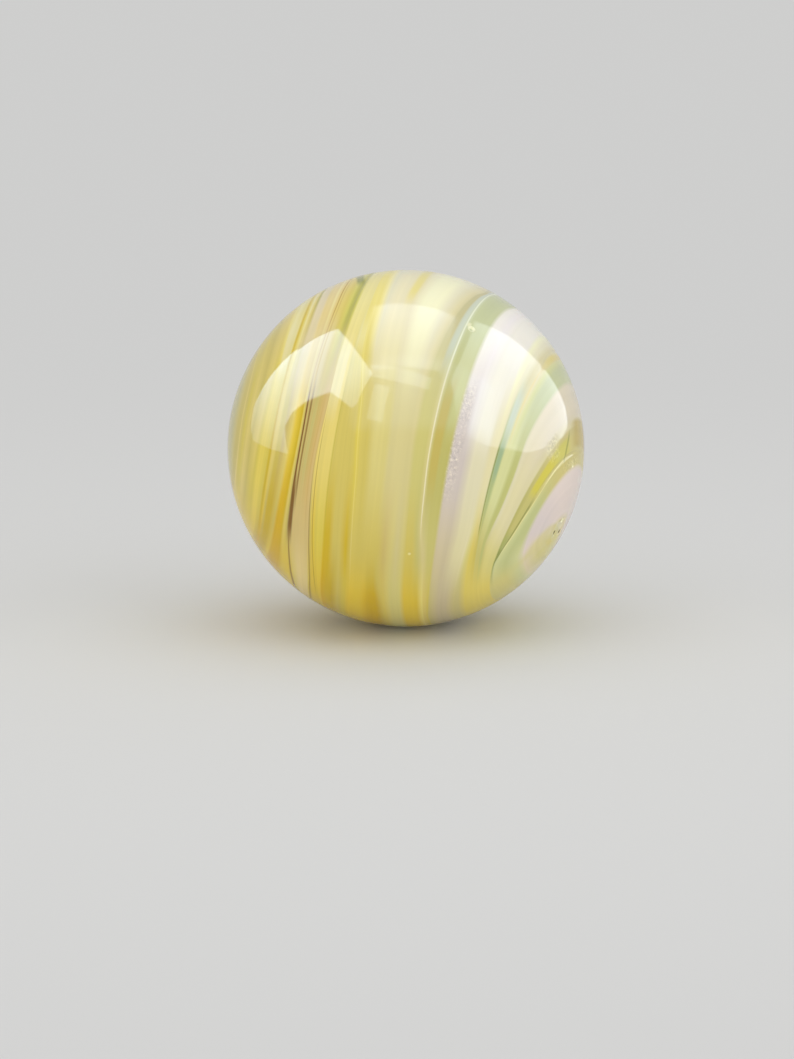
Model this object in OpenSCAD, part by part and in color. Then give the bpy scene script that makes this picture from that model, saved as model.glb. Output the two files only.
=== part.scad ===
// Banded glass marble: one solid ball of opaque swirled glass.
// Millimetres, +Z up, the origin at the centre of the ball and the front facing -Y.
//
// The hot glass was wound round a swirl axis, so its threads and folds run like lines of
// latitude about that axis: latitude 0 goes round the middle, and 90 is at the right-hand end.
// Azimuth goes round the axis: 0 at the top, 90 at the front, 180 underneath and 270 behind.
// The last glass curls round the cut-off mark instead, which has an axis of its own.

/* [Ball] */
// Diameter of the ball over its plain glass
marble_d = 25; // [14:0.5:50]

/* [Swirl axis] */
// How far the right-hand end of the swirl axis turns towards the front
swirl_turn = 11; // [0:1:40]
// How far the right-hand end of the swirl axis dips below level
swirl_dip = 10; // [0:1:40]

/* [Raised thread] */
// Latitude of the pale thread that stands proud of the glass
thread_lat = 16; // [-60:0.5:60]
// Azimuth of the middle of the thread
thread_az = 58; // [-180:1:360]
// Angle that the thread runs through before both its ends sink into the glass
thread_run = 120; // [20:1:150]
// How much more tightly the thread curls than its line of latitude
thread_lean = 6; // [0:1:10]
// Width of the thread where it stands highest
thread_w = 0.32; // [0.2:0.01:0.8]
// Height of the thread over the glass
thread_proud = 0.05; // [0.02:0.01:0.15]

/* [Cold folds] */
// Width of a fold at its deepest
fold_w = 0.36; // [0.2:0.01:0.8]
// Depth of a fold
fold_depth = 0.05; // [0.02:0.01:0.15]
// Latitude of the fold that crosses the top of the ball
crown_lat = -20.5; // [-60:0.5:60]
// Azimuth of the middle of the crown fold
crown_az = 14; // [-180:1:360]
// Angle that the crown fold runs through
crown_run = 44; // [20:1:150]
// Latitude of the fold on the right-hand shoulder
shoulder_lat = 45.5; // [-60:0.5:60]
// Azimuth of the middle of the shoulder fold
shoulder_az = 6; // [-180:1:360]
// Angle that the shoulder fold runs through
shoulder_run = 70; // [20:1:150]

/* [Cut-off mark] */
// How far the cut-off mark turns towards the front from the right-hand side
cut_turn = 23; // [0:1:45]
// How far the cut-off mark lies below level
cut_dip = 23; // [0:1:45]
// Width of the dished scar where the hot glass was cut off
scar_w = 2.6; // [2:0.1:4]
// Depth of the dished scar
scar_depth = 0.07; // [0.03:0.01:0.15]
// Number of flakes lost round the scar
flake_n = 3; // [2:1:5]
// Azimuth of the first lost flake
flake_az = -8; // [-180:1:180]
// Distance across the circle that the flakes lie on
flake_ring_d = 1.26; // [1:0.02:1.5]
// Width of the hollow that a lost flake leaves
flake_w = 0.46; // [0.2:0.02:0.5]
// Depth of that hollow, from the bottom of the scar
flake_depth = 0.1; // [0.04:0.01:0.2]
// Angle from the cut-off mark to the closing fold, which curls round it
closing_gap = 25; // [12:0.5:35]
// Azimuth of the middle of the closing fold
closing_az = 31; // [-180:1:360]
// Angle that the closing fold runs through
closing_run = 124; // [20:1:150]

/* [Bubbles] */
// Width of the burst bubble beside the thread
bubble_w = 0.4; // [0.2:0.02:0.8]
// Depth of the burst bubble
bubble_depth = 0.14; // [0.05:0.01:0.3]
// Glass between the edge of the bubble and the thread
bubble_gap = 0.08; // [0.02:0.01:0.5]
// Azimuth of the burst bubble
bubble_az = 31; // [-180:1:360]
// Width of a pinhole
pinhole_w = 0.2; // [0.1:0.02:0.3]
// Depth of a pinhole
pinhole_depth = 0.07; // [0.03:0.01:0.1]
// Glass between the thread and the pinhole low on the front
low_pinhole_gap = 0.48; // [0.02:0.02:1]
// Azimuth of that pinhole
low_pinhole_az = 114; // [-180:1:360]
// Glass between the closing fold and the pinhole inside its curl
side_pinhole_inset = 0.6; // [0.1:0.1:1]
// Azimuth of the pinhole inside the closing fold
side_pinhole_az = 1; // [-180:1:360]

/* [Hidden] */
$fn = 96;
marble_r = marble_d / 2;
// Azimuth of the seam that closes the ball, at the back and clear of every mark
back_az = 270;
// Extra angle past each end of a run, where the tube is clear of the surface
run_over = 10;
bubble_lat = thread_lat_at(bubble_az) + surface_angle(thread_w / 2 + bubble_gap + bubble_w / 2);
low_pinhole_lat =
    thread_lat_at(low_pinhole_az) - surface_angle(thread_w / 2 + low_pinhole_gap + pinhole_w / 2);
flake_lat = 90 - surface_angle(flake_ring_d / 2);
closing_lat = 90 - closing_gap;
side_pinhole_lat = closing_lat + surface_angle(fold_w / 2 + side_pinhole_inset + pinhole_w / 2);

// Angle at the centre of the ball for a distance along its surface
function surface_angle(along) = along / marble_r * 180 / PI;

// Latitude that the thread has curled to where it passes an azimuth
function thread_lat_at(az) = thread_lat + thread_lean * (1 - cos(az - thread_az));

// Radius of the round section that shows as a bead or groove of width w and height or depth h
function lens_r(w, h) = (w * w / 4 + h * h) / (2 * h);

// How far a ring is shifted off its axis, so that it lies at distance mid from the axis in the
// middle of its run and at distance end where the run ends
function ring_shift(mid, end, half_run) =
    (mid * mid - end * end) / (2 * (mid - end * cos(half_run)));

// Places children whose axis is +Z and whose azimuth 0 is +X
module about_axis(turn, dip) {
    rotate([0, 0, -turn]) rotate([0, 90 + dip, 0]) rotate([0, 0, 180]) children();
}

// A round tube along a line of latitude. Half way along its run it stands height over the
// surface, or as far under it when height is negative, and at both ends it is level with it.
// With some lean its ring tips about that middle, so both ends curl towards the axis.
module latitude_tube(lat, az, run, w, height, lean = 0) {
    ring_lat = lat + lean;
    tube_r = lens_r(w, abs(height));
    ring_r = marble_r + height - sign(height) * tube_r;
    mid = ring_r * cos(ring_lat);
    shift = ring_shift(mid, mid - height / cos(ring_lat), run / 2);
    swept = run + 2 * run_over;
    rotate([0, 0, az]) rotate([0, lean, 0]) translate([shift, 0, ring_r * sin(ring_lat)])
        rotate([0, 0, -swept / 2])
            rotate_extrude(angle = swept) translate([mid - shift, 0]) circle(tube_r);
}

module cold_fold(lat, az, run) latitude_tube(lat, az, run, fold_w, -fold_depth);

// The ball that sinks a round hollow into the surface
module hollow(lat, az, w, depth) {
    press_r = lens_r(w, depth);
    rotate([0, 0, az]) rotate([0, -lat, 0]) translate([marble_r - depth + press_r, 0, 0])
        sphere(press_r);
}

// The scar where the last of the hot glass was sheared off, with the flakes lost from it
module cut_off_mark() {
    hollow(90, 0, scar_w, scar_depth);
    for (i = [0 : flake_n - 1])
        hollow(flake_lat, flake_az + i * 360 / flake_n, flake_w, scar_depth + flake_depth);
}

module marble() {
    color([0.87, 0.82, 0.55])
    difference() {
        about_axis(swirl_turn, swirl_dip) {
            rotate([0, 0, back_az]) sphere(marble_r);
            latitude_tube(thread_lat, thread_az, thread_run, thread_w, thread_proud, thread_lean);
        }
        about_axis(swirl_turn, swirl_dip) {
            cold_fold(crown_lat, crown_az, crown_run);
            cold_fold(shoulder_lat, shoulder_az, shoulder_run);
            hollow(bubble_lat, bubble_az, bubble_w, bubble_depth);
            hollow(low_pinhole_lat, low_pinhole_az, pinhole_w, pinhole_depth);
        }
        about_axis(cut_turn, cut_dip) {
            cold_fold(closing_lat, closing_az, closing_run);
            hollow(side_pinhole_lat, side_pinhole_az, pinhole_w, pinhole_depth);
            cut_off_mark();
        }
    }
}

marble();
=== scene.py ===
# A banded glass marble on a pale floor.
# The ball is one wound surface: its rows run along the bands of glass, round the swirl axis, and
# near the right-hand end they swing over to circle the cut-off mark.
import math

import bpy
import numpy as np
from mathutils import Matrix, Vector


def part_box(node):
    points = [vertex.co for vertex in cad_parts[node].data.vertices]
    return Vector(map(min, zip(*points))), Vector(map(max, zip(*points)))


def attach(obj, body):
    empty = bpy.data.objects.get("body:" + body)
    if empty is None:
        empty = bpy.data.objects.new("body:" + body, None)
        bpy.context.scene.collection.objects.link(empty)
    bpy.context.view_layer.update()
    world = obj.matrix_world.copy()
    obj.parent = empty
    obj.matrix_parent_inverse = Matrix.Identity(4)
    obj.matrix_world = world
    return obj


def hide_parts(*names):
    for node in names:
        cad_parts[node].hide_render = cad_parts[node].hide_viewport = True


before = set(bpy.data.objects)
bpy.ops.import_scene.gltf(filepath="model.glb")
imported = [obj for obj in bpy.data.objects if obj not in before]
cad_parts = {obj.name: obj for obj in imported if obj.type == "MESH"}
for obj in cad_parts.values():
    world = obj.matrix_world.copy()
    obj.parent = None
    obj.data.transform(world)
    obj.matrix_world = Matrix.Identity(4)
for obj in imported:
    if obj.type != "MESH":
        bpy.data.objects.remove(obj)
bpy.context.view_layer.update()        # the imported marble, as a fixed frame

boxCorners = np.array([list(corner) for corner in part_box("marble")])
ballRadius = float(np.abs(boxCorners).min())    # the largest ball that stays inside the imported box
mm = 0.001
print("frame loaded, ball radius", round(ballRadius / mm, 3), "mm")


# 0 below 0, 1 above 1, and an even S between them
def smoothStep(x):
    x = np.clip(x, 0, 1)
    return x * x * (3 - 2 * x)


# A smooth closed curve through (azimuth, value) points: a cubic between each two neighbours, whose
# slope at a point is that of the line between the points before and after it
def roundCurve(azimuth, points):
    knots = np.array(sorted(points), float)
    at = np.concatenate([knots[:, 0] - 360, knots[:, 0], knots[:, 0] + 360])
    value = np.tile(knots[:, 1], 3)
    slope = np.zeros_like(value)
    slope[1:-1] = (value[2:] - value[:-2]) / (at[2:] - at[:-2])
    x = np.mod(azimuth - knots[0, 0], 360) + knots[0, 0]
    i = np.searchsorted(at, x, side="right") - 1
    step = at[i + 1] - at[i]
    t = (x - at[i]) / step
    return (value[i] + t * t * (3 - 2 * t) * (value[i + 1] - value[i])
            + t * (1 - t) * step * ((1 - t) * slope[i] - t * slope[i + 1]))


# Places from start to end that crowd together where the density is high: the running total of
# the density, over many small steps, is cut into equal parts
def crowdedPlaces(start, end, count, density):
    fine = np.linspace(start, end, 20001)
    total = np.concatenate([[0], np.cumsum(density((fine[1:] + fine[:-1]) / 2))])
    return np.interp(np.linspace(0, total[-1], count), total, fine)


# A density of 1 with a flat-topped bump at each (centre, half width, how many times closer)
def crowd(places):
    def density(x):
        total = np.ones_like(x)
        for centre, half, closer in places:
            total = total + (closer - 1) * np.exp(-((x - centre) / half) ** 4)
        return total
    return density


# Each seam between two glasses has a winding number, and the latitude that it passes at some
# azimuths. Azimuth 0 is on top, 90 in front, 180 underneath and 270 behind.
seams = [
    (-57, [(10, -60), (40, -59), (60, -57.5), (80, -57), (105, -56), (140, -57), (250, -59)]),
    (-42.5, [(10, -45), (40, -43.5), (60, -42), (80, -42), (110, -42.5), (130, -43.5), (145, -46),
             (250, -46)]),
    (-36.6, [(5, -39.5), (30, -38), (50, -37.3), (80, -36.8), (96, -36.7), (110, -37.4), (124, -38.5),
             (135, -40), (150, -43), (250, -41)]),
    (-27.4, [(0, -31), (30, -29.5), (60, -28), (80, -27), (100, -27.8), (112, -28.9), (124, -30.3),
             (134, -32), (142, -33.8), (155, -36), (250, -33)]),
    (-25, [(-3, -27.4), (17, -26.7), (30, -26.2), (60, -25.9), (80, -25), (105, -24.9), (121, -25.1),
           (136, -24.6), (149, -24.2), (250, -26)]),
    (-18.6, [(0, -20), (30, -19.2), (60, -18.6), (72, -18.3), (90, -18.7), (105, -18.1), (117, -17.5),
             (135, -17.1), (147, -18), (160, -19), (250, -20)]),
    (-17.6, [(0, -18.6), (30, -18.2), (60, -18), (74, -17.9), (89, -17.6), (105, -16.8), (117, -16.2),
             (129, -15.5), (140, -15.1), (150, -15.2), (250, -18)]),
    (-13.4, [(0, -16), (30, -15.2), (50, -14.5), (70, -13.7), (80, -13.4), (89, -13.1), (110, -12.3),
             (125, -12.4), (150, -13.5), (250, -15)]),
    (-6, [(4, -15), (30, -12.9), (50, -11.3), (65, -8), (80, -6), (92, -4.4), (110, -3.2), (130, -3),
          (145, -4), (200, -9), (250, -12), (300, -14)]),
    (4.5, [(-5, -.8), (15, -1), (27, -1.3), (50, 1), (70, 3.5), (90, 5), (120, 5.5), (150, 6.5), (250, 2)]),
    (11.2, [(2, 16.7), (10, 15), (26, 12.5), (45, 10.8), (60, 10.5), (75, 11), (90, 12), (105, 13),
            (115, 13.3), (150, 13), (250, 13)]),
    (16.4, [(-5, 19.3), (5, 18.4), (20, 17.3), (34, 16.5), (58, 16), (80, 16.4), (92, 17.1),
            (105, 17.9), (115, 19.2), (124, 19.8), (149, 19.6), (200, 19), (250, 19.5), (330, 20)]),
    (23, [(-7, 27.3), (10, 25.6), (24, 24.3), (40, 23.5), (55, 23.1), (75, 23), (105, 23.1), (121, 22.7),
          (141, 21.7), (151, 21.2), (200, 22), (280, 26.5)]),
    (36.5, [(-10, 37), (40, 37), (75, 36.8), (90, 36.3), (105, 35.8), (117, 33.8), (130, 32), (150, 31),
            (280, 35)]),
    (39.4, [(-10, 39.8), (40, 39.6), (65, 39.5), (105, 39.2), (150, 38.5), (250, 39)]),
    (50.5, [(-15, 48.5), (20, 49), (50, 49.3), (57, 50), (70, 51.3), (85, 51.2), (100, 48.5), (107, 46.8),
            (130, 46), (250, 48)]),
    (60, [(-25, 57.5), (0, 58.3), (10, 58.7), (28, 59.3), (50, 60), (72, 60.2), (87, 60), (98, 59.5),
          (109, 58.9), (115, 58.4), (130, 58.2), (250, 57)]),
    (65.4, [(-30, 65), (10, 65.1), (28, 65.5), (50, 65.9), (68, 65.5), (81, 64.5), (93, 63.2), (102, 61.6),
            (109, 60.3), (115, 59.2), (125, 59.6), (150, 62), (180, 64), (250, 64.5)]),
    (70.3, [(-30, 69), (0, 69.6), (30, 70.3), (60, 70.4), (90, 70.2), (110, 70.5), (125, 71.4), (150, 72.5),
            (250, 70)]),
    (86, [(-50, 87), (0, 87), (20, 86.6), (40, 86), (60, 85.3), (90, 86), (110, 86.8), (150, 88.3),
          (250, 87.6)]),
]
narrowest = 0.25    # least room between two seams, in degrees


# The latitude that each winding number passes at each azimuth: its share of the way between the
# two seams on either side of it
def windingLatitude(wind, azimuth):
    numbers = np.array([-90.] + [seam[0] for seam in seams] + [90.])
    places = [np.full_like(azimuth, -90.)]
    for _, points in seams:
        places.append(np.maximum(roundCurve(azimuth, points), places[-1] + narrowest))
    places = np.array(places + [np.full_like(azimuth, 90.)])
    i = np.clip(np.searchsorted(numbers, wind, side="right") - 1, 0, len(numbers) - 2)
    share = ((wind - numbers[i]) / (numbers[i + 1] - numbers[i]))[:, None]
    return places[i] * (1 - share) + places[i + 1] * share


marbleShape = {
    "rows": 440,
    "columns": 222,
    "seamAzimuth": 270,                 # behind
    "swirl": {"turn": 11, "dip": 10},
    "cutOff": {"turn": 23, "dip": 23},
    "swing": (30, 64),                  # latitudes over which the rows pass to the cut-off axis
    # where the grid is closer: (winding number or azimuth, half width, how many times)
    "closeRows": [(16.4, 1.6, 3), (18.2, 1.4, 2), (13, .7, 3), (-19.3, 1, 2), (44, 5, 1.5),
                  (65, 1.6, 2.5), (69.7, .8, 3), (87, 4, 2)],
    "closeColumns": [(31, 2.5, 8), (114, 1.2, 8), (1, 1.5, 4)],
    # reliefs, in millimetres and degrees, the same as the solid's
    "thread": {"lat": 16, "az": 58, "run": 120, "lean": 6, "width": .32, "height": .05},
    "crownFold": {"lat": -20.5, "az": 14, "run": 44, "width": .36, "height": -.05},
    "shoulderFold": {"lat": 45.5, "az": 6, "run": 70, "width": .36, "height": -.05},
    "closingFold": {"lat": 65, "az": 31, "run": 124, "width": .36, "height": -.05},
    "bubble": {"az": 31, "width": .4, "depth": .14, "gap": .08},
    "lowPinhole": {"az": 114, "width": .2, "depth": .07, "gap": .48},
    "sidePinhole": {"az": 1, "width": .2, "depth": .07, "inset": .6},
    "scar": {"width": 2.6, "depth": .07},
    "flakes": {"count": 3, "az": -8, "ringWidth": 1.26, "width": .46, "depth": .1},
}


# Three unit vectors of an axis that is turned to the front and dipped: azimuth 0, azimuth 90, axis
def axisFrame(turn, dip):
    turn, dip = np.radians(turn), np.radians(dip)
    axis = np.stack([np.cos(dip) * np.cos(turn), -np.cos(dip) * np.sin(turn), -np.sin(dip)], -1)
    front = np.stack([-np.sin(turn), -np.cos(turn), 0 * turn], -1)
    return np.cross(front, axis), front, axis


# The direction of a latitude and an azimuth about an axis frame
def latPoint(lat, azimuth, axes):
    top, front, axis = axes
    lat, azimuth = np.radians(lat)[..., None], np.radians(azimuth)[..., None]
    return np.cos(lat) * (np.cos(azimuth) * top + np.sin(azimuth) * front) + np.sin(lat) * axis


# The latitude and azimuth of directions about an axis frame
def aboutAxis(direction, axes):
    top, front, axis = axes
    lat = np.degrees(np.arcsin(np.clip(direction @ axis, -1, 1)))
    return lat, np.degrees(np.arctan2(direction @ front, direction @ top))


# The direction of a point of the wound glass: its latitude is about an axis that swings from the
# swirl axis to the cut-off mark as the latitude grows
def windingPoint(lat, azimuth):
    s = marbleShape
    swing = smoothStep((lat - s["swing"][0]) / (s["swing"][1] - s["swing"][0]))
    turn = s["swirl"]["turn"] + swing * (s["cutOff"]["turn"] - s["swirl"]["turn"])
    dip = s["swirl"]["dip"] + swing * (s["cutOff"]["dip"] - s["swirl"]["dip"])
    return latPoint(lat, azimuth, axisFrame(turn, dip))


# Angle at the ball's centre for a distance along its surface
def surfaceAngle(along):
    return math.degrees(along * mm / ballRadius)


# Radius of the round section that shows as a bead or groove of a width and a height or depth
def lensRadius(width, height):
    return (width * width / 4 + height * height) / (2 * height) * mm


# The distance to the surface of a tube that circles the axis off centre, so that it stands
# highest, or cuts deepest, half way along its run and is level with the glass at both ends.
# Its lean tips the ring about the middle of the run.
def tubeSurface(lat, azimuth, tube):
    side = 1 if tube["height"] > 0 else -1
    height = tube["height"] * mm
    thick = lensRadius(tube["width"], abs(tube["height"]))
    lean = tube.get("lean", 0)
    ring = ballRadius + height - side * thick
    ringLat = math.radians(tube["lat"] + lean)
    a, b, c = np.radians(lat), np.radians(azimuth - tube["az"]), math.radians(lean)
    x, y, z = np.cos(a) * np.cos(b), np.cos(a) * np.sin(b), np.sin(a)
    x, z = x * math.cos(c) - z * math.sin(c), x * math.sin(c) + z * math.cos(c)
    turn, rise = np.arctan2(y, x), np.arcsin(np.clip(z, -1, 1))
    mid = ring * math.cos(ringLat)
    end = mid - height / math.cos(ringLat)
    half = math.radians(tube["run"] / 2)
    shift = (mid * mid - end * end) / (2 * (mid - end * math.cos(half)))
    out = shift * np.cos(turn) + np.sqrt((mid - shift) ** 2 - (shift * np.sin(turn)) ** 2)
    up = ring * math.sin(ringLat)
    far = np.hypot(out, up)
    off = rise - np.arctan2(up, out)
    across = thick ** 2 - (far * np.sin(off)) ** 2
    reach = far * np.cos(off) + side * np.sqrt(np.maximum(across, 0))
    spare = math.radians(10)    # past each end, where the tube is clear of the surface
    return np.where((across > 0) & (np.abs(turn) < half + spare), reach, ballRadius)


# The distance to the bottom of a round hollow pressed by a ball
def hollowSurface(direction, centre, width, depth):
    ball = lensRadius(width, depth)
    far = ballRadius - depth * mm + ball
    cosine = direction @ centre
    across = ball ** 2 - far ** 2 * (1 - cosine ** 2)
    reach = far * cosine - np.sqrt(np.maximum(across, 0))
    return np.where((across > 0) & (cosine > 0), reach, ballRadius)


# Each round hollow's centre, as a direction, with its width and depth. The bubble and the low
# pinhole keep their distance from the thread, and the side pinhole from the closing fold.
def roundHollows():
    s = marbleShape
    swirl = axisFrame(s["swirl"]["turn"], s["swirl"]["dip"])
    cutOff = axisFrame(s["cutOff"]["turn"], s["cutOff"]["dip"])
    thread, fold, bubble = s["thread"], s["closingFold"], s["bubble"]
    lowHole, sideHole, scar, flakes = s["lowPinhole"], s["sidePinhole"], s["scar"], s["flakes"]

    def threadLat(azimuth):
        return thread["lat"] + thread["lean"] * (1 - math.cos(math.radians(azimuth - thread["az"])))

    def hollow(lat, azimuth, axes, width, depth):
        return latPoint(np.array(lat), np.array(azimuth), axes), width, depth

    beside = thread["width"] / 2
    bubbleLat = threadLat(bubble["az"]) + surfaceAngle(beside + bubble["gap"] + bubble["width"] / 2)
    lowLat = threadLat(lowHole["az"]) - surfaceAngle(beside + lowHole["gap"] + lowHole["width"] / 2)
    sideLat = fold["lat"] + surfaceAngle(fold["width"] / 2 + sideHole["inset"] + sideHole["width"] / 2)
    flakeLat = 90 - surfaceAngle(flakes["ringWidth"] / 2)
    flakeDepth = scar["depth"] + flakes["depth"]
    places = {
        "bubble": hollow(bubbleLat, bubble["az"], swirl, bubble["width"], bubble["depth"]),
        "lowPinhole": hollow(lowLat, lowHole["az"], swirl, lowHole["width"], lowHole["depth"]),
        "sidePinhole": hollow(sideLat, sideHole["az"], cutOff, sideHole["width"], sideHole["depth"]),
        "scar": hollow(90, 0, cutOff, scar["width"], scar["depth"]),
    }
    for i in range(flakes["count"]):
        azimuth = flakes["az"] + i * 360 / flakes["count"]
        places[f"flake{i + 1}"] = hollow(flakeLat, azimuth, cutOff, flakes["width"], flakeDepth)
    return places


# The ball's radius in each direction: plain glass, less what the folds and hollows take away,
# or out to the thread where it stands proud
def reliefRadius(direction):
    s = marbleShape
    swirl = axisFrame(s["swirl"]["turn"], s["swirl"]["dip"])
    cutOff = axisFrame(s["cutOff"]["turn"], s["cutOff"]["dip"])
    swirlLat, swirlAz = aboutAxis(direction, swirl)
    cutLat, cutAz = aboutAxis(direction, cutOff)
    reach = np.maximum(ballRadius, tubeSurface(swirlLat, swirlAz, s["thread"]))
    for fold in ("crownFold", "shoulderFold"):
        reach = np.minimum(reach, tubeSurface(swirlLat, swirlAz, s[fold]))
    reach = np.minimum(reach, tubeSurface(cutLat, cutAz, s["closingFold"]))
    for centre, width, depth in roundHollows().values():
        reach = np.minimum(reach, hollowSurface(direction, centre, width, depth))
    return reach


# The wound grid: rows of one winding number each, columns of one azimuth each, a point at each
# end, and a map that lays azimuth across and winding number up
def makeMarble():
    s = marbleShape
    wind = crowdedPlaces(-90, 90, s["rows"] + 1, crowd(s["closeRows"]))
    first = s["seamAzimuth"] - 360
    around = crowdedPlaces(first, first + 360, s["columns"] + 1, crowd(s["closeColumns"]))
    lat = windingLatitude(wind[1:-1], around[:-1])
    rows, columns = lat.shape
    direction = windingPoint(lat, np.tile(around[:-1], (rows, 1))).reshape(-1, 3)
    ends = windingPoint(np.array([-90., 90.]), np.array([0., 0.]))
    direction = np.concatenate([direction, ends])
    points = direction * reliefRadius(direction)[:, None]

    index = np.arange(rows * columns).reshape(rows, columns)
    nextIndex = np.roll(index, -1, axis=1)
    quads = np.stack([index[:-1], nextIndex[:-1], nextIndex[1:], index[1:]], -1).reshape(-1, 4)
    leftFan = np.stack([nextIndex[0], index[0], np.full(columns, rows * columns)], -1)
    rightFan = np.stack([index[-1], nextIndex[-1], np.full(columns, rows * columns + 1)], -1)

    u = (around - first) / 360
    v = (wind + 90) / 180
    uNow, uNext = np.tile(u[:-1], (rows - 1, 1)), np.tile(u[1:], (rows - 1, 1))
    vNow, vNext = np.tile(v[1:-2], (columns, 1)).T, np.tile(v[2:-1], (columns, 1)).T
    quadMap = np.stack([uNow, vNow, uNext, vNow, uNext, vNext, uNow, vNext], -1).reshape(-1)
    middle, level = (u[:-1] + u[1:]) / 2, np.ones(columns)
    leftMap = np.stack([u[1:], v[1] * level, u[:-1], v[1] * level, middle, 0 * level], -1).reshape(-1)
    rightMap = np.stack([u[:-1], v[-2] * level, u[1:], v[-2] * level, middle, level], -1).reshape(-1)

    mesh = bpy.data.meshes.new("marble")
    mesh.from_pydata(points.tolist(), [], quads.tolist() + leftFan.tolist() + rightFan.tolist())
    mesh.polygons.foreach_set("use_smooth", np.ones(len(mesh.polygons), bool))
    layout = mesh.uv_layers.new(name="OFBake")
    layout.uv.foreach_set("vector", np.concatenate([quadMap, leftMap, rightMap]).astype(np.float32))
    mesh.update()
    marble = bpy.data.objects.new("marble_glass", mesh)
    bpy.context.scene.collection.objects.link(marble)
    print("marble", len(mesh.vertices), "points", 2 * len(quads) + 2 * columns, "triangles")
    return marble


glassColours = {        # display colours, 0 to 255
    "stone": (198, 190, 130),
    "khaki": (207, 189, 93),
    "straw": (216, 197, 78),
    "corn": (227, 206, 86),
    "butter": (226, 206, 112),
    "lemon": (235, 221, 130),
    "primrose": (234, 223, 150),
    "cream": (240, 230, 160),
    "ivory": (222, 213, 166),
    "pearl": (232, 227, 194),
    "chalk": (239, 235, 223),
    "pistachio": (246, 244, 204),
    "lime": (212, 205, 96),
    "gold": (206, 176, 26),
    "amber": (214, 174, 0),
    "honey": (228, 199, 60),
    "mustard": (220, 201, 98),
    "maize": (218, 208, 130),
    "buff": (201, 180, 105),
    "sand": (208, 196, 134),
    "blush": (211, 187, 120),
    "peach": (231, 210, 142),
    "shell": (226, 212, 172),
    "tan": (201, 192, 114),
    "wheat": (211, 198, 121),
    "barley": (231, 211, 104),
    "reed": (190, 190, 116),
    "willow": (193, 197, 134),
    "moss": (185, 178, 100),
    "grass": (170, 170, 66),
    "fern": (168, 173, 98),
    "sage": (197, 203, 156),
    "mint": (211, 212, 150),
    "dew": (212, 218, 184),
    "sky": (203, 215, 203),
    "pond": (150, 176, 142),
    "teal": (176, 186, 126),
    "lavender": (202, 190, 181),
    "lilac": (242, 236, 232),
    "rose": (230, 214, 204),
    "clay": (204, 190, 154),
    "heather": (220, 207, 202),
    "linen": (219, 212, 176),
    "oat": (197, 190, 143),
    "oyster": (224, 213, 186),
    "milk": (234, 226, 187),
    "copper": (206, 158, 84),
    # painted shade for the dark pits in two flakes
    "pitShade": (62, 55, 38),
    "umber": (120, 78, 0),
    "toffee": (194, 172, 82),
    "frost": (234, 238, 216),
    "rust": (188, 146, 68),
    "ink": (120, 130, 48),
    "olive": (182, 170, 48),
    "citron": (216, 204, 66),
}

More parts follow.
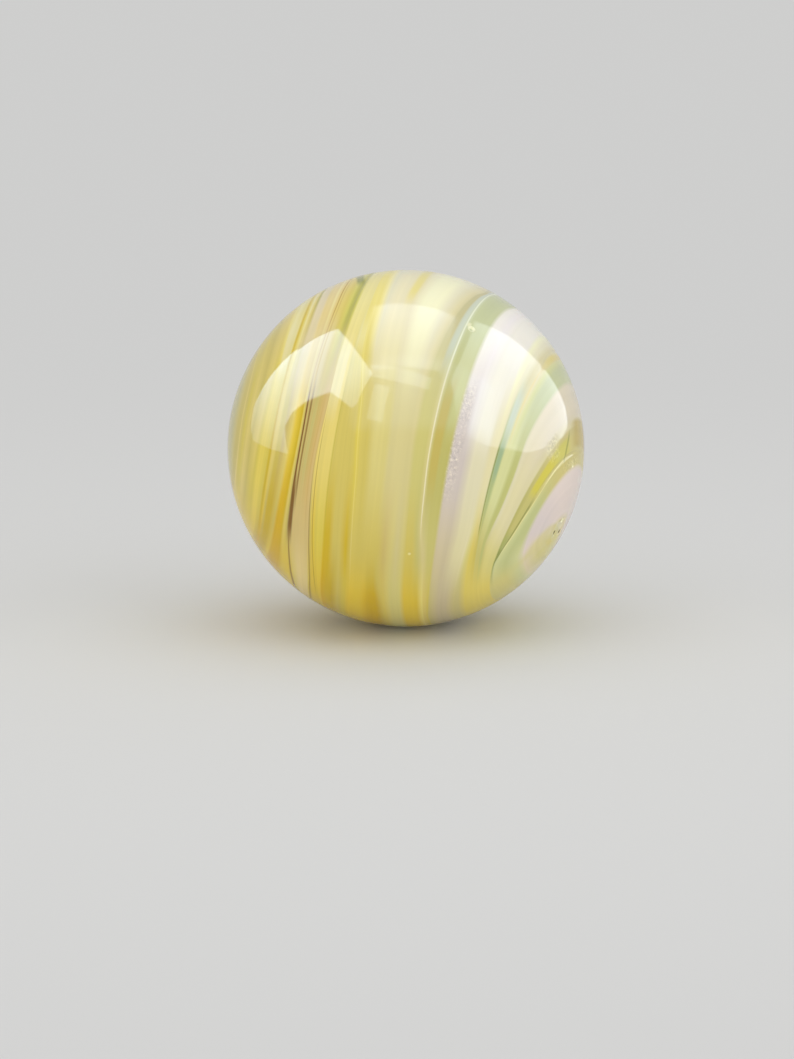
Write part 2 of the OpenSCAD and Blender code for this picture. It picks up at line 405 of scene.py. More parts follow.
# The glass at each winding number: on top, in front, low down and underneath. The colour runs
# evenly from one line to the next, so a sharp seam is two lines close together.
bands = [
    (-90, "stone", "stone", "stone", "stone"),
    (-66, "stone", "stone", "stone", "stone"),
    (-60, "khaki", "khaki", "khaki", "gold"),
    (-57.6, "khaki", "khaki", "khaki", "honey"),
    (-57, "straw", "butter", "butter", "honey"),
    (-56, "straw", "khaki", "straw", "honey"),
    (-54, "khaki", "straw", "straw", "honey"),
    (-51, "straw", "butter", "butter", "honey"),
    (-48, "khaki", "khaki", "khaki", "honey"),
    (-45, "butter", "butter", "straw", "honey"),
    (-43, "butter", "straw", "straw", "honey"),
    (-42, "lemon", "corn", "corn", "honey"),
    (-40, "cream", "corn", "corn", "honey"),
    (-37.6, "lemon", "straw", "straw", "gold"),
    (-36.7, "gold", "gold", "gold", "amber"),
    (-36, "corn", "butter", "honey", "amber"),
    (-35, "cream", "butter", "khaki", "gold"),
    (-34, "butter", "khaki", "gold", "gold"),
    (-33.2, "khaki", "khaki", "gold", "gold"),
    (-32, "shell", "buff", "gold", "gold"),
    (-29.8, "shell", "butter", "khaki", "honey"),
    (-28.6, "peach", "honey", "amber", "amber"),
    (-27, "peach", "gold", "amber", "amber"),
    (-26.5, "peach", "gold", "gold", "amber"),
    (-26.2, "cream", "barley", "butter", "honey"),
    (-25.8, "peach", "khaki", "khaki", "honey"),
    (-25.2, "butter", "buff", "buff", "honey"),
    (-24, "butter", "buff", "blush", "butter"),
    (-22.4, "mustard", "buff", "blush", "peach"),
    (-20.8, "lime", "buff", "blush", "peach"),
    (-19.4, "moss", "blush", "blush", "peach"),
    (-18.8, "lime", "blush", "blush", "corn"),
    (-18.2, "primrose", "butter", "khaki", "honey"),
    (-17.4, "primrose", "butter", "honey", "honey"),
    (-16.5, "primrose", "butter", "straw", "honey"),
    (-15, "primrose", "butter", "straw", "honey"),
    (-13.9, "primrose", "butter", "straw", "honey"),
    (-13.3, "primrose", "khaki", "gold", "amber"),
    (-12, "primrose", "khaki", "gold", "gold"),
    (-10.8, "lemon", "khaki", "khaki", "gold"),
    (-9, "lemon", "khaki", "khaki", "khaki"),
    (-7.4, "lemon", "khaki", "gold", "straw"),
    (-6.2, "lemon", "straw", "khaki", "honey"),
    (-5.2, "lemon", "khaki", "khaki", "honey"),
    (-4.2, "cream", "khaki", "khaki", "honey"),
    (-3, "pearl", "khaki", "khaki", "honey"),
    (-.8, "milk", "wheat", "khaki", "honey"),
    (1.4, "milk", "wheat", "khaki", "gold"),
    (3, "milk", "wheat", "khaki", "gold"),
    (4.4, "milk", "sand", "khaki", "khaki"),
    (6, "pistachio", "sand", "buff", "mustard"),
    (8, "pistachio", "sand", "wheat", "maize"),
    (9.4, "pearl", "sand", "sand", "maize"),
    (10.8, "ivory", "sand", "wheat", "maize"),
    (12, "oat", "tan", "khaki", "honey"),
    (13.6, "oat", "tan", "khaki", "honey"),
    (15.1, "oat", "tan", "tan", "honey"),
    (16.4, "dew", "sand", "sand", "lemon"),
    (17.4, "sage", "moss", "sand", "butter"),
    (19.5, "sage", "moss", "tan", "butter"),
    (22.4, "sage", "moss", "tan", "mustard"),
    (23.5, "chalk", "lavender", "clay", "sand"),
    (27.4, "lilac", "lavender", "clay", "clay"),
    (30.6, "chalk", "linen", "ivory", "clay"),
    (34.6, "chalk", "linen", "ivory", "sand"),
    (36.4, "chalk", "ivory", "maize", "sand"),
    (37.6, "pistachio", "ivory", "mustard", "barley"),
    (39.1, "pearl", "ivory", "khaki", "barley"),
    (39.7, "pearl", "teal", "khaki", "barley"),
    (41.4, "ivory", "teal", "tan", "barley"),
    (42.6, "ivory", "mint", "tan", "barley"),
    (43.7, "ivory", "mint", "tan", "barley"),
    (45, "mint", "mint", "tan", "barley"),
    (46.6, "sage", "mint", "tan", "barley"),
    (48.4, "sage", "reed", "reed", "barley"),
    (50.2, "sage", "reed", "reed", "barley"),
    (51.2, "oyster", "linen", "tan", "barley"),
    (53.4, "oyster", "ivory", "maize", "barley"),
    (57, "oyster", "ivory", "maize", "barley"),
    (59.6, "ivory", "ivory", "maize", "barley"),
    (60.2, "sand", "moss", "fern", "maize"),
    (62, "wheat", "tan", "fern", "maize"),
    (64.9, "wheat", "tan", "sage", "maize"),
    (65.6, "wheat", "mint", "mint", "maize"),
    (67.4, "wheat", "willow", "willow", "maize"),
    (69.4, "wheat", "willow", "mint", "mint"),
    (71.2, "rose", "heather", "rose", "shell"),
    (77, "rose", "heather", "shell", "maize"),
    (83.4, "rose", "rose", "ivory", "maize"),
    (85.4, "shell", "shell", "ivory", "maize"),
    (88, "ivory", "ivory", "ivory", "sand"),
    (90, "ivory", "ivory", "ivory", "ivory"),
]

# Local streaks over the bands: winding numbers from, to and how soft; azimuths from, to and how
# soft; how far the streak slants, in winding numbers to a degree; glass; strength
# Some streaks are painted light: the shade and highlight along the crown and closing folds.
streaks = [
    ((2, 4.2, .7), (-14, 26, 7), 0, "lemon", .85),
    ((14.1, 16, .6), (-6, 48, 8), 0, "sky", .7),                    # under the thread
    ((16.2, 16.62, .14), (-10, 50, 8), 0, "frost", .8),             # the thread itself
    ((16.2, 16.6, .14), (50, 104, 8), 0, "pearl", .6),
    ((16.6, 17.7, .3), (28.6, 30.6, .6), 0, "pistachio", .6),       # from it to the bubble
    ((-13.2, -6.4, 1.2), (40, 50, 8), 0, "pistachio", .35),
    ((-18.6, -14.6, .5), (48, 72, 7), 0, "pearl", .35),
    ((-41.5, -37.4, .5), (32, 58, 7), 0, "pearl", .35),
    ((26.8, 35, 1), (44, 72, 8), 0, "chalk", .5),
    ((-24.4, -22.2, .5), (0, 15, 4), .2, "ink", .8),                # painted shade: the shadow line beside the crown fold
    ((-20.6, -19, .5), (12, 42, 6), 0, "grass", .42),
    ((-25.35, -24.75, .2), (64, 104, 8), 0, "umber", 1),            # two brown threads that meet low down
    ((-24.1, -23.5, .2), (64, 104, 8), 0, "umber", .75),
    ((-25.4, -24.2, .3), (98, 120, 6), 0, "umber", .95),
    ((-25.1, -24.8, .15), (119, 158, 8), 0, "umber", .8),
    ((-25.2, -24.9, .15), (-10, 62, 10), 0, "rust", .9),
    ((-34.5, -22.6, .8), (38, 66, 8), 0, "shell", .45),             # paler glass behind them
    ((-23.2, -21.6, .5), (68, 96, 8), 0, "reed", .4),
    ((-20.8, -19.2, .4), (66, 106, 10), 0, "copper", .3),
    ((-21.3, -21.1, .12), (66, 104, 8), 0, "copper", .4),
    ((-22.9, -22.7, .12), (66, 98, 8), 0, "copper", .4),
    ((-19.9, -19.75, .1), (72, 112, 8), 0, "rust", .4),
    ((-37.4, -36.3, .4), (88, 150, 8), 0, "gold", .6),
    ((-24.4, -24, .15), (10, 66, 8), 0, "rust", .35),
    ((-17.65, -17.45, .12), (76, 140, 12), 0, "umber", .6),         # two finer ones
    ((-18.7, -18.4, .15), (96, 160, 12), 0, "umber", .6),
    ((-18.8, -18.5, .2), (60, 96, 8), 0, "rust", .45),
    ((-13.5, -13.25, .12), (66, 112, 10), 0, "olive", .5),
    ((-33.4, -32.6, .3), (-10, 24, 8), 0, "grass", .7),
    ((-6.15, -5.9, .15), (20, 125, 14), 0, "cream", .24),           # the oblique pale line
    ((-1.5, 4.6, 1.2), (132, 162, 8), 0, "amber", .5),
    ((39.2, 39.9, .25), (66, 104, 3), 0, "ink", .6),                # under the teal
    ((40, 42, .5), (65, 80, 4), 0, "pond", .7),
    ((39.9, 42.4, .6), (40, 62, 8), 0, "sky", .7),
    ((42.6, 44.3, .6), (-60, 12, 10), 0, "mustard", .7),
    ((43, 43.5, .3), (18, 60, 8), 0, "peach", .4),
    ((20.3, 22.6, .5), (50, 70, 8), 0, "willow", .5),               # green and brown above the thread
    ((17.2, 19.7, .5), (58, 90, 8), 0, "toffee", .7),
    ((61, 64.8, .6), (7, 30, 5), 0, "lime", .8),                    # the wedge
    ((61.4, 64.4, .6), (28, 60, 6), 0, "citron", .85),              # its heart
    ((60.3, 64.6, .5), (92, 115, 6), 0, "fern", .7),                # its dark tip
    ((60.3, 64.6, .5), (104, 116, 3), 0, "ink", .5),
    # painted shade and painted highlight along the closing fold: a dark line beside its groove and a pale
    # line in it
    ((64.2, 65.1, .25), (65, 116, 6), 0, "ink", .6),
    ((65.25, 65.6, .15), (8, 104, 8), 0, "cream", .7),
    ((60, 61.2, .5), (5, 17, 2), .42, "ink", .5),
    ((58.5, 64, .7), (-70, -2, 7), 0, "toffee", .9),                # before it
    ((84.5, 115, 2.2), (62, 128, 9), -.24, "maize", .65),           # round the cut-off mark
    ((81, 83.5, .8), (118, 160, 12), 0, "mustard", .5),
    ((85.6, 86.6, .3), (22, 46, 8), 0, "olive", .5),
]

# Round marks in the hollows, mostly painted light: pale rings and dots for the highlights on their rims,
# and dark spots for the shade in two flakes. Columns: the hollow, radius and how soft in millimetres,
# glass, strength
spots = [
    # painted highlight: the pale ring round the bubble's rim, with sage glass inside it
    ("bubble", .26, .05, "pistachio", .8),
    ("bubble", .11, .05, "sage", .9),
    # pale dots in the two pinholes: pale glass with a painted glint
    ("lowPinhole", .1, .05, "cream", .75),
    ("sidePinhole", .11, .05, "pistachio", .8),
    # painted highlight on the first flake's rim, with a dark olive mark inside it
    ("flake1", .2, .08, "pistachio", 1),
    ("flake1", .12, .04, "moss", .5),
    # painted shade: the dark pits in two flakes
    ("flake2", .18, .04, "pitShade", 1),
    ("flake3", .18, .04, "pitShade", 1),
]

# Scales are in noise cells to a metre
glassFinish = {
    # azimuths where the mix of two glasses starts and ends
    "toFront": (24, 74),
    "toLow": (84, 116),
    "toUnder": (112, 140),
    "toTop": (190, 268),
    "roughness": .03,
    "ior": 1.5,
    "subsurface": .12,          # share of the light that scatters under the skin
    "scatterDepth": 1.2 * mm,
    "scatterColour": (1, .8, .5),
    "wander": .3,               # how far the bands wander, in winding numbers
    "wanderScale": 110,
    "broadStreaks": .08,        # share of the brightness that streaks take or give
    "broadWidth": 3,            # their width across, in winding numbers
    "broadScale": 50,
    "fineStreaks": .08,
    "fineWidth": .65,
    "fineScale": 70,
    "fineFades": (-12, 6),      # winding numbers over which the fine streaks die down
    "waviness": .006 * mm,      # height of the slow waves left in the skin of the glass
    "waveScale": 260,
    "grain": .05 * mm,          # height of the grain where the skin froze rough
    "grainScale": 5200,
    "grainRoughness": .75,
    "grainTone": .55,           # share of the brightness that it takes or gives
    "grainWander": .9,          # how far it pulls the bands about, in winding numbers
    "driftScale": 700,          # a slower noise that thins the grain
    "driftFades": (.3, .55),    # its heights over which the grain comes in
    "driftLeast": .4,           # share of the grain left at the thinnest
    "flecks": (.5, .75),        # grain heights over which it turns to pale flecks
    "fleckGlass": "pistachio",
    "fleckStrength": .42,
}

# Patches of grain: winding numbers from, to and how soft; azimuths from, to and how soft
grainPatches = [
    ((22.8, 26, .9), (54, 90, 8)),
    ((57.5, 63, 1), (22, 34, 4)),
    ((67, 70, 1), (-12, 20, 8)),
]


# Display colour to the linear colour that a shader takes
def linearColour(name):
    share = np.array(glassColours[name]) / 255
    linear = np.where(share <= .04045, share / 12.92, ((share + .055) / 1.055) ** 2.4)
    return (*linear.tolist(), 1)


# A shader node: each of its inputs is linked to a socket or set to a value
def addNode(tree, kind, inputs=None, **settings):
    node = tree.nodes.new(kind)
    for key, value in settings.items():
        setattr(node, key, value)
    for key, value in (inputs or {}).items():
        if isinstance(value, bpy.types.NodeSocket):
            tree.links.new(value, node.inputs[key])
        else:
            node.inputs[key].default_value = value
    return node


# One operation on two values, each a socket or a number
def maths(tree, operation, a, b=0.0):
    inputs = {}
    for i, value in enumerate((a, b)):
        inputs[i] = value if isinstance(value, bpy.types.NodeSocket) else float(value)
    return addNode(tree, "ShaderNodeMath", inputs, operation=operation).outputs[0]


# A value less a half, so that a noise goes as far either way
def centred(tree, value):
    return maths(tree, "SUBTRACT", value, .5)


# A value carried from one range to another, along an even S or a line, and held at its ends
def mapRange(tree, value, fromMin, fromMax, toMin, toMax, kind="SMOOTHSTEP"):
    inputs = {0: value, 1: float(fromMin), 2: float(fromMax), 3: float(toMin), 4: float(toMax)}
    return addNode(tree, "ShaderNodeMapRange", inputs, interpolation_type=kind).outputs[0]


# Colour a where the factor is 0 and b where it is 1
def mixColour(tree, factor, a, b, blend="MIX"):
    node = addNode(tree, "ShaderNodeMix", {0: factor, 6: a, 7: b}, data_type="RGBA", blend_type=blend)
    return node.outputs[2]


# 1 between start and end, 0 outside them, with soft edges
def window(tree, value, start, end, soft):
    rise = mapRange(tree, value, start - soft, start + soft, 0, 1)
    fall = mapRange(tree, value, end - soft, end + soft, 1, 0)
    return maths(tree, "MULTIPLY", rise, fall)


# A run of band colours as ramps of at most 32 colours each, joined end to end. The place on a ramp
# is the winding number's share of the way from its first line to its last.
def bandRamps(tree, wind, column):
    longest = 31
    colour = None
    for start in range(0, len(bands) - 1, longest):
        part = bands[start:start + longest + 1]
        begin, end = part[0][0], part[-1][0]
        place = maths(tree, "DIVIDE", maths(tree, "SUBTRACT", wind, float(begin)), float(end - begin))
        ramp = addNode(tree, "ShaderNodeValToRGB", {0: place})
        stops = ramp.color_ramp.elements
        while len(stops) < len(part):
            stops.new(0.5)
        for stop, line in zip(stops, part):
            stop.position = (line[0] - begin) / (end - begin)
            stop.color = linearColour(line[column])
        if colour is None:
            colour = ramp.outputs[0]
        else:
            past = maths(tree, "GREATER_THAN", wind, float(begin))
            colour = mixColour(tree, past, colour, ramp.outputs[0])
    return colour


# Plain noise on the ball
def noise(tree, place, scale, detail=1.0, roughness=.5):
    inputs = {"Vector": place, "Scale": float(scale), "Detail": detail, "Roughness": roughness}
    return addNode(tree, "ShaderNodeTexNoise", inputs).outputs[0]


# Noise drawn out along the bands: its fourth coordinate is the winding number over a width, so it
# changes slowly over the ball and quickly across the winding
def drawnNoise(tree, place, wind, width, scale):
    inputs = {"Vector": place, "W": maths(tree, "MULTIPLY", wind, 1 / (width * scale)),
              "Scale": float(scale), "Detail": 2.0, "Roughness": .5}
    return addNode(tree, "ShaderNodeTexNoise", inputs, noise_dimensions="4D").outputs[0]


# The glass: the four runs of bands are mixed by azimuth, the streaks (among them painted shade and
# highlight along two folds), flecks and round marks (mostly painted highlights and shade in the
# hollows) are laid over them in turn, and the whole is multiplied by a tone of 1 plus the drawn-out
# noises and the grain. Slow waves and the grain raise the skin.
def makeGlass():
    f = glassFinish
    material = bpy.data.materials.new("banded_glass")
    material.use_nodes = True
    tree = material.node_tree
    tree.nodes.clear()
    layout = addNode(tree, "ShaderNodeUVMap", uv_map="OFBake").outputs[0]
    across, up = addNode(tree, "ShaderNodeSeparateXYZ", {0: layout}).outputs[:2]
    first = marbleShape["seamAzimuth"] - 360
    around = maths(tree, "ADD", maths(tree, "MULTIPLY", across, 360.0), float(first))
    wound = maths(tree, "ADD", maths(tree, "MULTIPLY", up, 180.0), -90.0)
    place = addNode(tree, "ShaderNodeTexCoord").outputs["Object"]

    # the winding number wanders a little over the ball
    sway = centred(tree, noise(tree, place, f["wanderScale"]))
    wind = maths(tree, "ADD", wound, maths(tree, "MULTIPLY", sway, 2 * f["wander"]))

    # the grain, only in its patches
    speck = noise(tree, place, f["grainScale"], 4.0, f["grainRoughness"])
    drift = noise(tree, place, f["driftScale"])
    patches = 0.0
    for (start, end, soft), (begin, stop, fade) in grainPatches:
        patch = maths(tree, "MULTIPLY", window(tree, wound, start, end, soft),
                      window(tree, around, begin, stop, fade))
        patches = maths(tree, "MAXIMUM", patch, patches)
    thin = mapRange(tree, drift, *f["driftFades"], f["driftLeast"], 1)
    patches = maths(tree, "MULTIPLY", patches, thin)
    grain = maths(tree, "MULTIPLY", centred(tree, speck), patches)
    wind = maths(tree, "ADD", wind, maths(tree, "MULTIPLY", grain, 2 * f["grainWander"]))

    # the bands, and what lies over them
    top, front, lowDown, under = (bandRamps(tree, wind, column) for column in (1, 2, 3, 4))
    colour = mixColour(tree, mapRange(tree, around, *f["toFront"], 0, 1), top, front)
    colour = mixColour(tree, mapRange(tree, around, *f["toLow"], 0, 1), colour, lowDown)
    colour = mixColour(tree, mapRange(tree, around, *f["toUnder"], 0, 1), colour, under)
    colour = mixColour(tree, mapRange(tree, around, *f["toTop"], 0, 1), colour, top)
    # streaks, among them painted shade and painted highlight along the crown and closing folds
    for (start, end, soft), (begin, stop, fade), slant, glass, strength in streaks:
        number = wind
        if slant:
            gone = maths(tree, "SUBTRACT", around, begin)
            number = maths(tree, "SUBTRACT", wind, maths(tree, "MULTIPLY", gone, slant))
        share = maths(tree, "MULTIPLY", window(tree, number, start, end, soft),
                      window(tree, around, begin, stop, fade))
        share = maths(tree, "MULTIPLY", share, strength)
        colour = mixColour(tree, share, colour, linearColour(glass))
    flecks = maths(tree, "MULTIPLY", mapRange(tree, speck, *f["flecks"], 0, f["fleckStrength"]), patches)
    colour = mixColour(tree, flecks, colour, linearColour(f["fleckGlass"]))
    hollows = roundHollows()
    outward = addNode(tree, "ShaderNodeVectorMath", {0: place}, operation="NORMALIZE").outputs["Vector"]
    # round marks: painted highlights on the bubble, pinholes and first flake, painted shade in two flakes
    for name, radius, soft, glass, strength in spots:
        centre = tuple(hollows[name][0].tolist())
        away = addNode(tree, "ShaderNodeVectorMath", {0: outward, 1: centre}, operation="DISTANCE")
        inner, outer = (radius - soft) * mm / ballRadius, (radius + soft) * mm / ballRadius
        share = mapRange(tree, away.outputs["Value"], inner, outer, strength, 0)
        colour = mixColour(tree, share, colour, linearColour(glass))

    # the tone
    broad = centred(tree, drawnNoise(tree, place, wind, f["broadWidth"], f["broadScale"]))
    fine = centred(tree, drawnNoise(tree, place, wind, f["fineWidth"], f["fineScale"]))
    fineShare = mapRange(tree, wind, *f["fineFades"], 2 * f["fineStreaks"], f["fineStreaks"] / 2)
    tone = maths(tree, "ADD", maths(tree, "MULTIPLY", broad, 2 * f["broadStreaks"]),
                 maths(tree, "MULTIPLY", fine, fineShare))
    tone = maths(tree, "ADD", tone, maths(tree, "MULTIPLY", grain, 2 * f["grainTone"]))
    tone = maths(tree, "ADD", tone, 1.0)
    tint = addNode(tree, "ShaderNodeCombineColor", {0: tone, 1: tone, 2: tone}).outputs[0]
    colour = mixColour(tree, 1.0, colour, tint, "MULTIPLY")

    # the skin
    wave = noise(tree, place, f["waveScale"])
    skin = {"Strength": 1.0, "Distance": f["waviness"], "Height": wave}
    bump = addNode(tree, "ShaderNodeBump", skin).outputs[0]
    skin = {"Strength": 1.0, "Distance": f["grain"], "Height": grain, "Normal": bump}
    bump = addNode(tree, "ShaderNodeBump", skin).outputs[0]
    shader = addNode(tree, "ShaderNodeBsdfPrincipled",
                     {"Base Color": colour, "Roughness": f["roughness"], "IOR": f["ior"], "Normal": bump,
                      "Subsurface Weight": f["subsurface"], "Subsurface Radius": f["scatterColour"],
                      "Subsurface Scale": f["scatterDepth"]})
    output = addNode(tree, "ShaderNodeOutputMaterial")
    tree.links.new(shader.outputs[0], output.inputs[0])
    return material


marble = makeMarble()
marble.data.materials.append(makeGlass())
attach(marble, "root")
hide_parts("marble")
print("glass finished")


studio = {
    "floorSize": 12.0,
    "floorColour": (.74, .74, .73, 1),
    "evenFrom": .03,            # metres from the ball between which the floor's shading gives way
    "evenTo": .16,              # to one even tone, seen by camera, gloss and glass only
    "evenTone": .62,
    "evenColour": (1, 1, .99, 1),
    "worldLight": .5,
    "worldSeen": .64,
    "cameraDistance": .25,
    "cameraElevation": 8.9,
    "lens": 121.4,              # on a 36 mm frame
    "aimRight": -.142,          # degrees from the ball's centre to the middle of the view
    "aimUp": -1.299,
    "panelDistance": .6,
}

# Soft panels. "towards" is the direction to one as the camera sees it: right, up and towards the
# viewer. A panel is a flat sheet square to that direction, and each of its panes is a convex shape
# given by its corners, clockwise, as (right, up) at a distance of 1. In each of its fades the first
# two numbers are a way across the sheet, and going that way from the third to the fourth the glow
# rises from a share, the fifth, to all of it.
panels = {
    "rightFill": {
        "towards": (.8, .2, .5), "lights": "colour", "brightness": .8, "edge": .1,
        "panes": [[(-.6, .6), (.6, .6), (.6, -.3), (-.6, -.3)]]},
    "leftFill": {
        "towards": (-.8, .2, .5), "lights": "colour", "brightness": .5, "edge": .1,
        "panes": [[(-.6, .6), (.6, .6), (.6, -.3), (-.6, -.3)]]},
    "roofFill": {
        "towards": (0, 1, .1), "lights": "colour", "brightness": .6, "edge": .1,
        "panes": [[(-.8, .8), (.8, .8), (.8, -.8), (-.8, -.8)]]},
    "frontFill": {
        "towards": (0, 0, 1), "lights": "colour", "brightness": 2.7, "edge": .02,
        "panes": [[(-1.1, .14), (1.1, .14), (1.1, -.16), (-1.1, -.16)]]},
    "rightWindow": {
        "towards": (.87, .48, -.1), "lights": "gloss", "brightness": 2.35, "edge": .05,
        "tint": (.9, 1, 1.12), "fades": [(1, 0, -1.7, -.9, .4)],
        "panes": [[(-1.05, .66), (.26, .64), (.46, .08), (.56, -.47), (-.12, -.64), (-1.1, -.52),
                   (-1.55, -.36), (-1.7, .1)],
                  [(.38, .2), (.74, -.26), (.7, -.41), (.3, -.52)]]},
    "leftWindow": {
        "towards": (-.85, .53, .05), "lights": "gloss", "brightness": 4.8, "edge": .035,
        "tint": (.72, 1, 1.3), "fades": [(.5, .87, -.75, -.05, .2), (-1, 0, -1, -.5, .5)],
        "panes": [[(-.2, .57), (.85, .64), (1.04, .14), (.98, .03), (-.4, .1)],
                  [(-.38, .22), (.62, .15), (.22, -.16), (-.62, -.16)],
                  [(-.55, -.06), (.33, -.06), (.06, -.33), (-.74, -.33)],
                  [(-.7, -.22), (.14, -.22), (.02, -.5), (-.71, -.5)],
                  [(-.71, -.38), (.06, -.38), (.15, -.67), (.07, -.84), (-.2, -.81), (-.57, -.68)]]},
    "roofWindow": {
        "towards": (0, .99, .14), "lights": "gloss", "brightness": 1.75, "edge": .08,
        "tint": (.84, 1, 1.3),
        "panes": [[(-.44, .62), (.43, .6), (.26, -.5), (-.44, -.39)]]},
    "frontGlow": {
        "towards": (0, .5, .87), "lights": "gloss", "brightness": .9, "edge": .2,
        "tint": (.72, 1, 1.4),
        "panes": [[(-.8, .7), (1.5, .7), (1.5, -.4), (-.8, -.4)]]},
    "frontStep": {
        "towards": (0, .7, .7), "lights": "gloss", "brightness": 1.8, "edge": .03,
        "tint": (.8, 1, 1.2),
        "panes": [[(-.38, .235), (.28, .03), (.25, -.145), (-.14, -.045), (-.41, .065)],
                  [(-.33, -.02), (-.15, -.09), (-.29, -.55), (-.52, -.48)]]},
}


# A flat square under the ball. Near the ball its shading is its own, and further out the rays that
# show the background see one even tone.
def makeFloor():
    s = studio
    half = s["floorSize"] / 2
    mesh = bpy.data.meshes.new("floor")
    corners = [(x * half, y * half, -ballRadius) for x, y in ((-1, -1), (1, -1), (1, 1), (-1, 1))]
    mesh.from_pydata(corners, [], [(0, 1, 2, 3)])
    floor = bpy.data.objects.new("floor", mesh)
    bpy.context.scene.collection.objects.link(floor)
    material = bpy.data.materials.new("pale_floor")
    material.use_nodes = True
    tree = material.node_tree
    tree.nodes.clear()
    matt = addNode(tree, "ShaderNodeBsdfDiffuse", {"Color": s["floorColour"]}).outputs[0]
    even = addNode(tree, "ShaderNodeEmission", {"Color": s["evenColour"], "Strength": s["evenTone"]})
    place = addNode(tree, "ShaderNodeTexCoord").outputs["Object"]
    away = addNode(tree, "ShaderNodeVectorMath", {0: place}, operation="LENGTH").outputs["Value"]
    far = mapRange(tree, away, s["evenFrom"], s["evenTo"], 0, 1)
    share = maths(tree, "MULTIPLY", far, seenRays(tree))
    mixed = addNode(tree, "ShaderNodeMixShader", {0: share, 1: matt, 2: even.outputs[0]}).outputs[0]
    output = addNode(tree, "ShaderNodeOutputMaterial")
    tree.links.new(mixed, output.inputs[0])
    mesh.materials.append(material)


# 1 for the rays that show the background: the camera's, and those off gloss and through glass
def seenRays(tree):
    path = addNode(tree, "ShaderNodeLightPath").outputs
    either = maths(tree, "MAXIMUM", path["Is Camera Ray"], path["Is Glossy Ray"])
    return maths(tree, "MAXIMUM", either, path["Is Transmission Ray"])


# Right, up and towards the viewer, as the camera sees them
def viewAxes():
    elevation = math.radians(studio["cameraElevation"])
    right = np.array([1., 0, 0])
    near = np.array([0, -math.cos(elevation), math.sin(elevation)])
    return right, np.cross(near, right), near


# Turns a thing to look along a direction, and returns its right and its up
def lookAlong(thing, direction, up=(0, 0, 1)):
    back = -np.array(direction, float) / np.linalg.norm(direction)
    right = np.cross(up, back)
    right = right / np.linalg.norm(right)
    rise = np.cross(back, right)
    thing.rotation_mode = "QUATERNION"
    thing.rotation_quaternion = Matrix(np.stack([right, rise, back], 1).tolist()).to_quaternion()
    return right, rise


# The camera, aimed a little off the ball's centre: its direction is straight back along its
# distance, plus the tangents of the two aim angles
def makeCamera():
    s = studio
    right, up, near = viewAxes()
    data = bpy.data.cameras.new("camera")
    data.lens = s["lens"]
    data.sensor_width = 36
    data.clip_start = .01
    data.clip_end = 100
    camera = bpy.data.objects.new("camera", data)
    camera.location = near * s["cameraDistance"]
    aside, above = (math.tan(math.radians(s[name])) for name in ("aimRight", "aimUp"))
    lookAlong(camera, aside * right + above * up - near)
    bpy.context.scene.collection.objects.link(camera)
    bpy.context.scene.camera = camera


# How far (x, y) lies along a direction: the sum of the products of their parts
def distanceAlong(tree, x, y, rightward, upward):
    return maths(tree, "ADD", maths(tree, "MULTIPLY", x, rightward), maths(tree, "MULTIPLY", y, upward))


# The glow of a panel at (x, y): 1 inside any of its panes, falling to 0 over a soft edge. The
# distance inside a pane's edge is that along the edge's inward normal.
def paneGlow(tree, x, y, panes, soft):
    glow = 0.0
    for corners in panes:
        corners = np.array(corners)
        inside = 1.0
        for corner, step in zip(corners, np.roll(corners, -1, axis=0) - corners):
            normal = np.array([step[1], -step[0]]) / np.linalg.norm(step)
            depth, side = distanceAlong(tree, x, y, *normal), normal @ corner
            share = mapRange(tree, depth, side, side + soft, 0, 1)
            inside = maths(tree, "MULTIPLY", share, inside)
        glow = maths(tree, "MAXIMUM", inside, glow)
    return glow


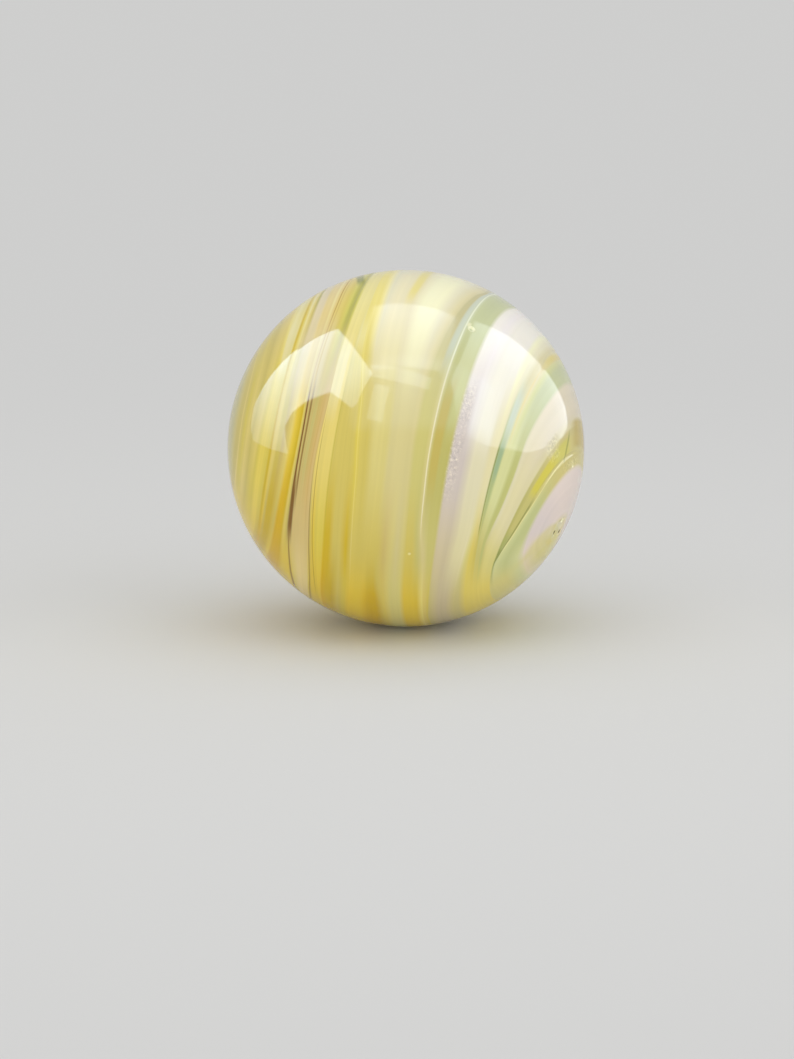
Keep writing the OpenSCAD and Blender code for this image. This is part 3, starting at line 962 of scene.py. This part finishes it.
# A panel: an area lamp just large enough for its panes, whose light is their glow. Its energy is
# the brightness times pi times its area.
def makePanel(name, p):
    viewRight, viewUp, near = viewAxes()
    direction = p["towards"][0] * viewRight + p["towards"][1] * viewUp + p["towards"][2] * near
    direction = direction / np.linalg.norm(direction)
    far = studio["panelDistance"]
    corners = np.concatenate([np.array(pane) for pane in p["panes"]])
    lowest, highest = corners.min(0), corners.max(0)
    middle, size = (lowest + highest) / 2, highest - lowest
    data = bpy.data.lights.new(name, "AREA")
    data.shape = "RECTANGLE"
    data.size, data.size_y = far * size
    data.energy = p["brightness"] * math.pi * data.size * data.size_y
    data.color = p.get("tint", (1, 1, 1))
    panel = bpy.data.objects.new(name, data)
    overhead = abs(p["towards"][1]) > .9
    across, rise = lookAlong(panel, -direction, near if overhead else viewUp)
    panel.location = far * (direction + middle[0] * across + middle[1] * rise)
    data.use_nodes = True
    tree = data.node_tree
    place = addNode(tree, "ShaderNodeSeparateXYZ", {0: addNode(tree, "ShaderNodeTexCoord").outputs["UV"]})
    x = mapRange(tree, place.outputs[0], 0, 1, lowest[0], highest[0], "LINEAR")
    y = mapRange(tree, place.outputs[1], 0, 1, lowest[1], highest[1], "LINEAR")
    glow = paneGlow(tree, x, y, p["panes"], p["edge"])
    for rightward, upward, begin, end, least in p.get("fades", []):
        way = distanceAlong(tree, x, y, rightward, upward)
        glow = maths(tree, "MULTIPLY", glow, mapRange(tree, way, begin, end, least, 1))
    tree.links.new(glow, tree.nodes["Emission"].inputs["Strength"])
    panel.visible_camera = False
    panel.visible_glossy = p["lights"] == "gloss"
    panel.visible_diffuse = p["lights"] == "colour"
    bpy.context.scene.collection.objects.link(panel)


# An even white world, with one strength for the light it gives and one for how bright it looks
def makeWorld():
    world = bpy.data.worlds.new("studio")
    bpy.context.scene.world = world
    world.use_nodes = True
    tree = world.node_tree
    tree.nodes.clear()
    strength = mapRange(tree, seenRays(tree), 0, 1, studio["worldLight"], studio["worldSeen"])
    background = addNode(tree, "ShaderNodeBackground", {0: (1, 1, 1, 1), 1: strength})
    output = addNode(tree, "ShaderNodeOutputWorld")
    tree.links.new(background.outputs[0], output.inputs[0])


makeFloor()
makeCamera()
makeWorld()
for name, panel in panels.items():
    makePanel(name, panel)
bpy.context.scene.view_settings.view_transform = "Standard"
print("studio set")
